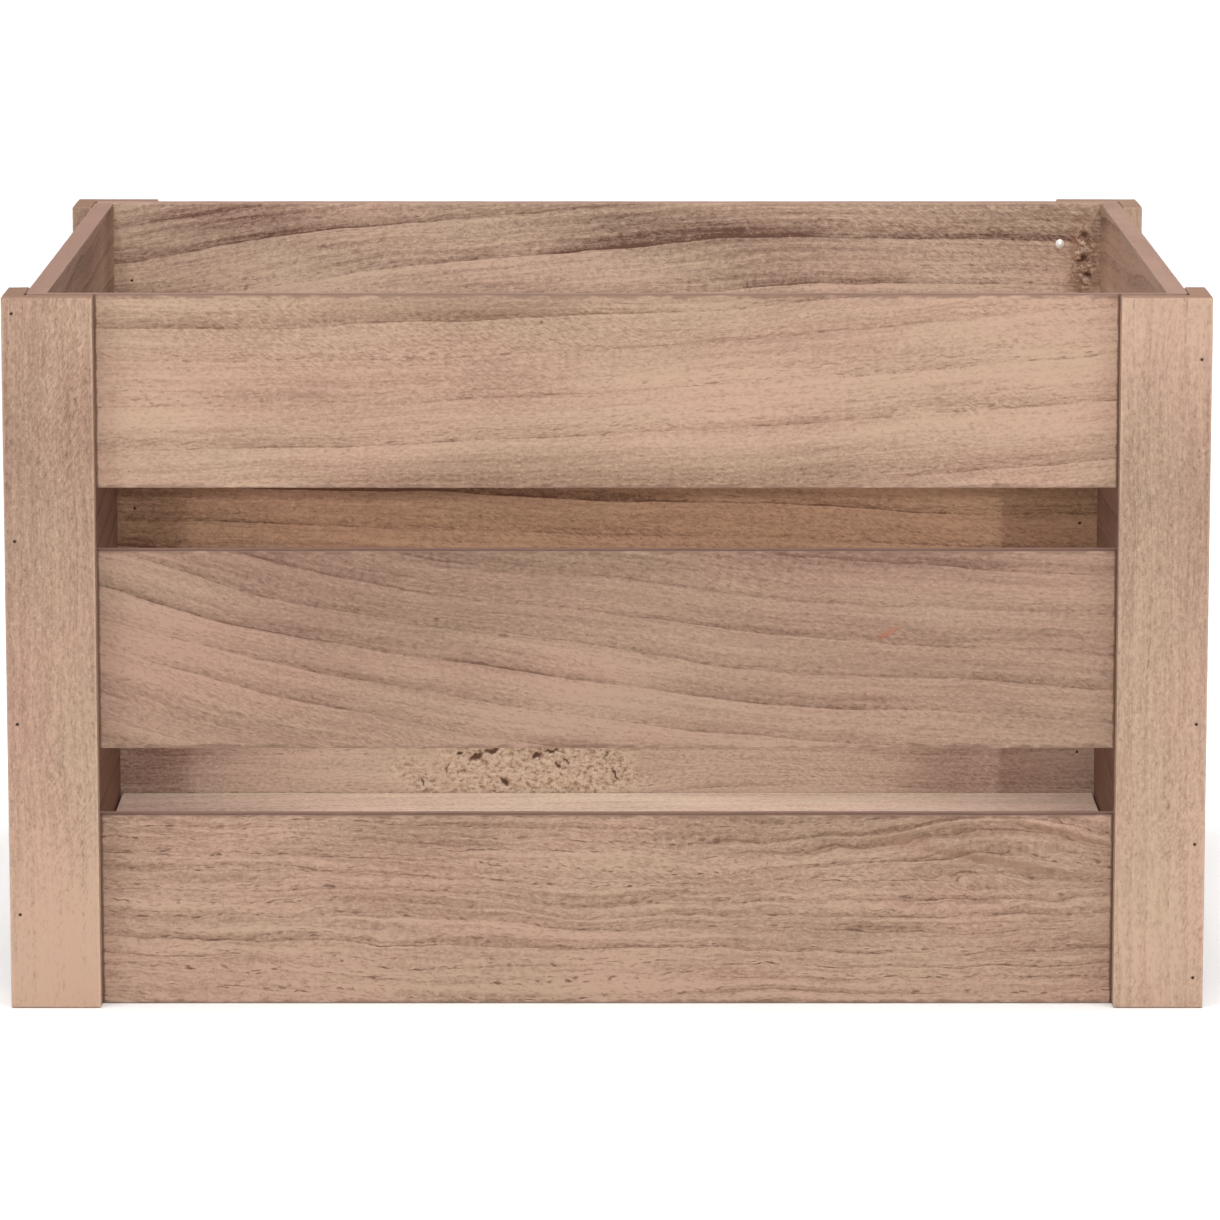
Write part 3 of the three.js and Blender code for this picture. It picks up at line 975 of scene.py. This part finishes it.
def long_walls():
    knot = Mark((-0.027, 0.029), (1.1 * MM, 0.8 * MM))
    # The front slats get painted shade beside the posts' edges
    board("front_top_slat", X, -Y, FRONT_TOP, marks=[knot], post_shade=POST_EDGES)
    board("front_middle_slat", X, -Y, FRONT_MIDDLE, marks=[
        Mark((-0.071, 0.013), (1.3 * MM, 0.9 * MM)),
        Mark((-0.043, 0.006), (3.0 * MM, 0.9 * MM), turn=-0.1, strength=0.6),
        Mark((0.117, 0.007), (6.5 * MM, 1.6 * MM), turn=0.5, colour=(150, 92, 70), strength=0.6),
    ], post_shade=POST_EDGES)
    board("front_bottom_slat", X, -Y, FRONT_BOTTOM, marks=[
        Mark((0.168, 0.0195), (0.04, 0.0022), turn=-0.18, colour=(122, 88, 68), strength=0.5),
        Mark((0.185, 0.034), (0.03, 0.002), turn=-0.25, colour=(122, 88, 68), strength=0.45),
        Mark((0.128, 0.028), (0.018, 0.005), turn=-0.15, colour=(134, 96, 76), strength=0.3),
    ], post_shade=POST_EDGES)
    board("back_top_slat", X, -Y, BACK_TOP, marks=[BARK_STAIN], patches=[BARK])
    board("back_middle_slat", X, -Y, BACK_MIDDLE)
    board("back_bottom_slat", X, -Y, BACK_BOTTOM, marks=[CRUMBLY_STAIN], patches=[CRUMBLY])


def short_walls():
    seed = 100
    for side, grain in (("left", Y), ("right", -Y)):
        for row in ("bottom", "middle", "top"):
            seed += 10
            log = some_log(seed)
            if row == "top":
                log = replace(log, light=TOP_LIGHT[side], dark=TOP_DARK[side], shades=TOP_SHADES[side])
            else:
                # The lower rows take painted shade in their colours
                log = replace(log, light=SHADED_LOW_LIGHT[side], dark=SHADED_LOW_DARK)
            board(f"{side}_{row}_slat", grain, grain.cross(Z), log)


def corners():
    seed = 200
    for wall, out in (("front", -Y), ("back", Y)):
        for side, away in (("left", -X), ("right", X)):
            seed += 10
            look = LEFT_POST if side == "left" else RIGHT_POST
            board(f"{wall}_{side}_face_board", Z, out, replace(look, seed=seed))
            board(f"{wall}_{side}_side_board", Z, away, replace(look, seed=seed + 5))


def floor_boards():
    for index in range(1, 5):
        log = replace(some_log(300 + index), light=(222, 198, 180), rings=0.35, streaks=0.4)
        board(f"floor_board_{index}", X, Z, log)
    for index in range(1, 4):
        board(f"floor_cleat_{index}", Y, Z, some_log(320 + index))


def fasteners():
    steel = steel_material()
    for node, head, normal, length in CAD_BRADS:
        pin(f"{node}_steel", brad_profile(length), BRAD_SIDES, head, normal, steel, node)
    for name, head, normal, length in EXTRA_BRADS:
        pin(name, brad_profile(length), BRAD_SIDES, head - normal * BRAD_SUNK, normal, steel)
    domed_nail()


# --- The studio ----------------------------------------------------------------------------------


def studio_floor():
    half = FLOOR_SIZE / 2
    outline = [(-half, -half, 0), (half, -half, 0), (half, half, 0), (-half, half, 0)]
    mesh = bpy.data.meshes.new("studio_floor")
    mesh.from_pydata(outline, [], [(0, 1, 2, 3)])
    floor = bpy.data.objects.new("studio_floor", mesh)
    bpy.context.collection.objects.link(floor)
    g = Graph("studio_floor")
    mesh.materials.append(g.finish((*[FLOOR_ALBEDO] * 3, 1.0), FLOOR_ROUGHNESS, None))


def lamp(name, kind, place, target):
    """A lamp that shines from place towards target and stays out of the picture."""
    made = bpy.data.objects.new(name, bpy.data.lights.new(name, kind))
    made.location = place
    made.rotation_mode = "QUATERNION"
    made.rotation_quaternion = (Vector(target) - Vector(place)).to_track_quat("-Z", "Y")
    made.visible_camera = False
    bpy.context.collection.objects.link(made)
    return made.data


def studio_light():
    for name, place, size, power in LAMPS:
        light = lamp(name, "AREA", place, LAMP_TARGET)
        light.shape = "SQUARE"
        light.size = size
        light.energy = power
    overhead = lamp("overhead_light", "SUN", OVERHEAD_PLACE, OVERHEAD_TARGET)
    overhead.energy = OVERHEAD_LIGHT
    overhead.angle = OVERHEAD_SPREAD


def studio_world():
    """A dim sky over a bright horizon, like a white cove lit from below."""
    world = bpy.data.worlds.new("studio")
    bpy.context.scene.world = world
    world.use_nodes = True
    tree = world.node_tree
    background = tree.nodes["Background"]
    background.inputs["Color"].default_value = (1, 1, 1, 1)
    direction = tree.nodes.new("ShaderNodeTexCoord")
    split = tree.nodes.new("ShaderNodeSeparateXYZ")
    rise = tree.nodes.new("ShaderNodeMapRange")
    rise.inputs["From Min"].default_value = HORIZON_FADE[0]
    rise.inputs["From Max"].default_value = HORIZON_FADE[1]
    rise.inputs["To Min"].default_value = HORIZON_LIGHT
    rise.inputs["To Max"].default_value = SKY_LIGHT
    tree.links.new(direction.outputs["Generated"], split.inputs[0])
    tree.links.new(split.outputs[2], rise.inputs["Value"])
    tree.links.new(rise.outputs[0], background.inputs["Strength"])


def camera():
    data = bpy.data.cameras.new("camera")
    data.lens = CAMERA_LENS
    made = bpy.data.objects.new("camera", data)
    made.location = CAMERA_PLACE
    made.rotation_euler = (math.pi / 2 - CAMERA_PITCH, 0, 0)
    bpy.context.collection.objects.link(made)
    bpy.context.scene.camera = made


camera()
studio_light()
studio_world()
studio_floor()
bpy.context.scene.view_settings.view_transform = "Standard"
long_walls()
short_walls()
corners()
floor_boards()
fasteners()
